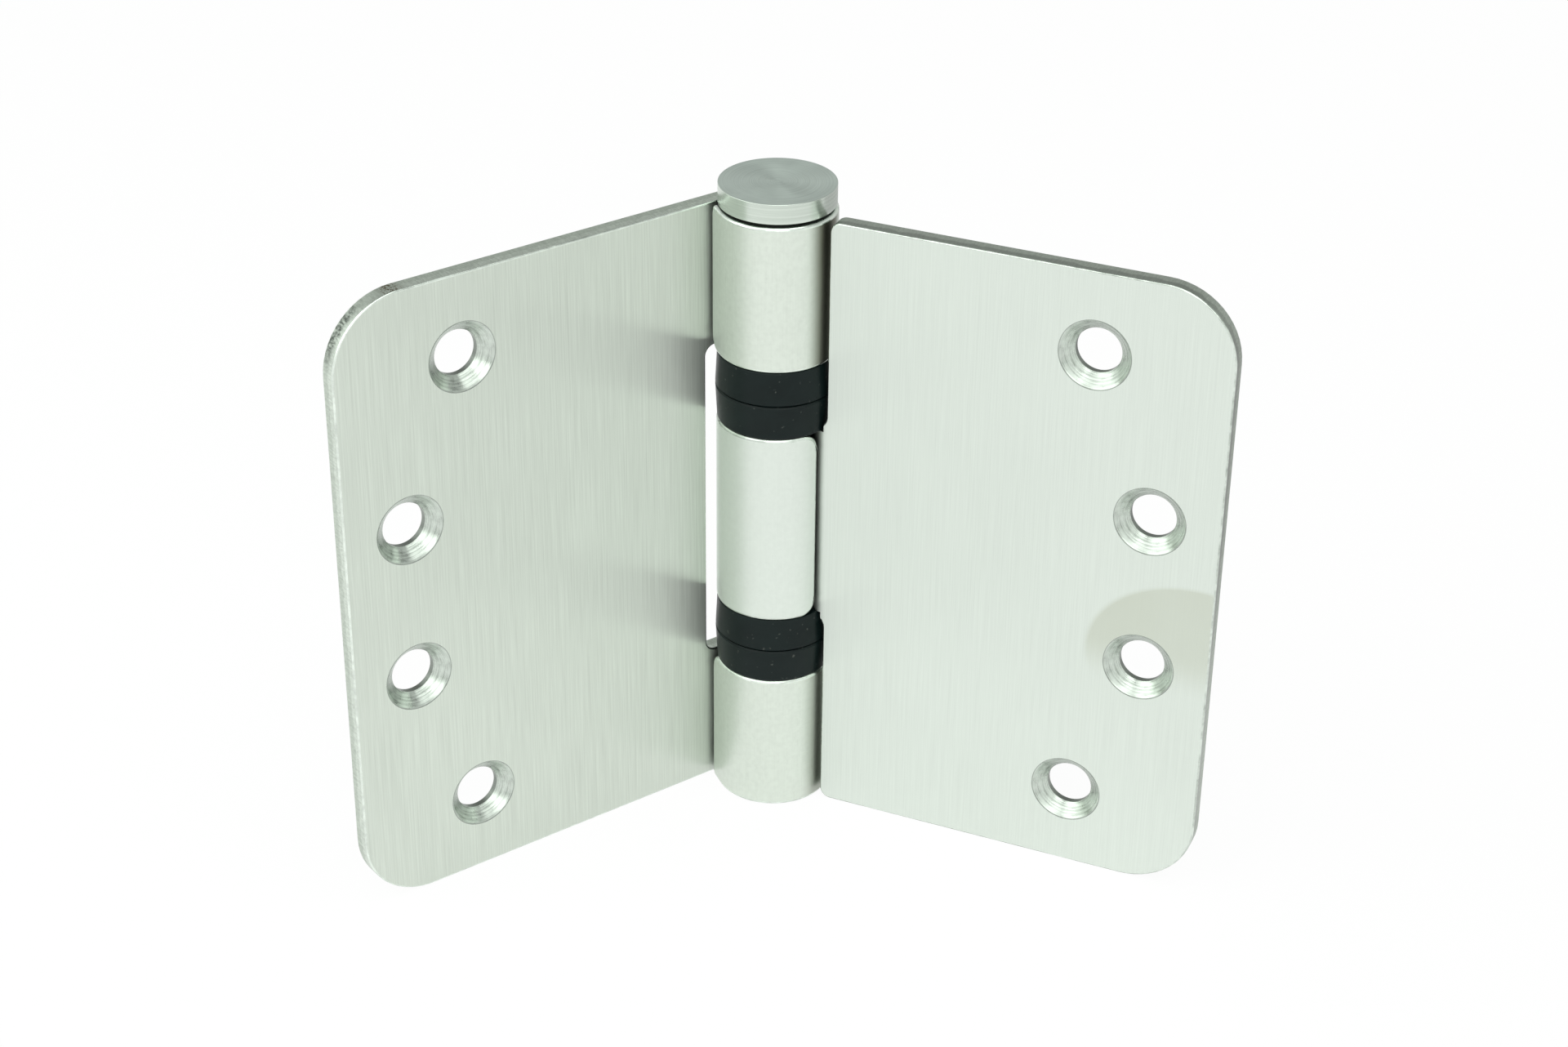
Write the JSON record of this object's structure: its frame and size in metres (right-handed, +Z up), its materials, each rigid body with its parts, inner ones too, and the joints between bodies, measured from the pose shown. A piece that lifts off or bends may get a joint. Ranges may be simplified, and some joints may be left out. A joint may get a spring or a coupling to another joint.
{
  "type": "loose-pin bearing butt hinge",
  "caption": "Butt hinge with round-cornered sheet leaves rolled into a barrel, flanged polymer bearing bushes and a flat-headed loose pin, for hanging a door.",
  "frame": {"origin": "on the barrel's axis, at the lower end that the hinge stands on", "axes": "+Z up the barrel towards the pin's head; the fixed leaf lies along -X with its screwed-down back towards +Y; the swing leaf stands folded 60 degrees forward from flat, towards -Y"},
  "size_m": [0.0944, 0.0638, 0.0922],
  "materials": {
    "leaf_steel": "satin brushed stainless steel",
    "pin_steel": "turned stainless steel",
    "bush_polymer": "satin black moulded polymer"
  },
  "bodies": {
    "fixed": {"fixed_leaf": "leaf_steel", "top_bush": "bush_polymer", "bottom_bush": "bush_polymer"},
    "swing": {"swing_leaf": "leaf_steel", "upper_middle_bush": "bush_polymer", "lower_middle_bush": "bush_polymer"},
    "pin": {"hinge_pin": "pin_steel"}
  },
  "joints": [
    {"name": "leaf_swing", "type": "hinge", "parent": "fixed", "child": "swing", "pos_m": [0, 0, 0], "axis": [0, 0, 1], "range_deg": [-120, 150]},
    {"name": "pin_lift", "type": "slide", "parent": "fixed", "child": "pin", "axis": [0, 0, 1], "range_m": [0, 0.095]}
  ]
}
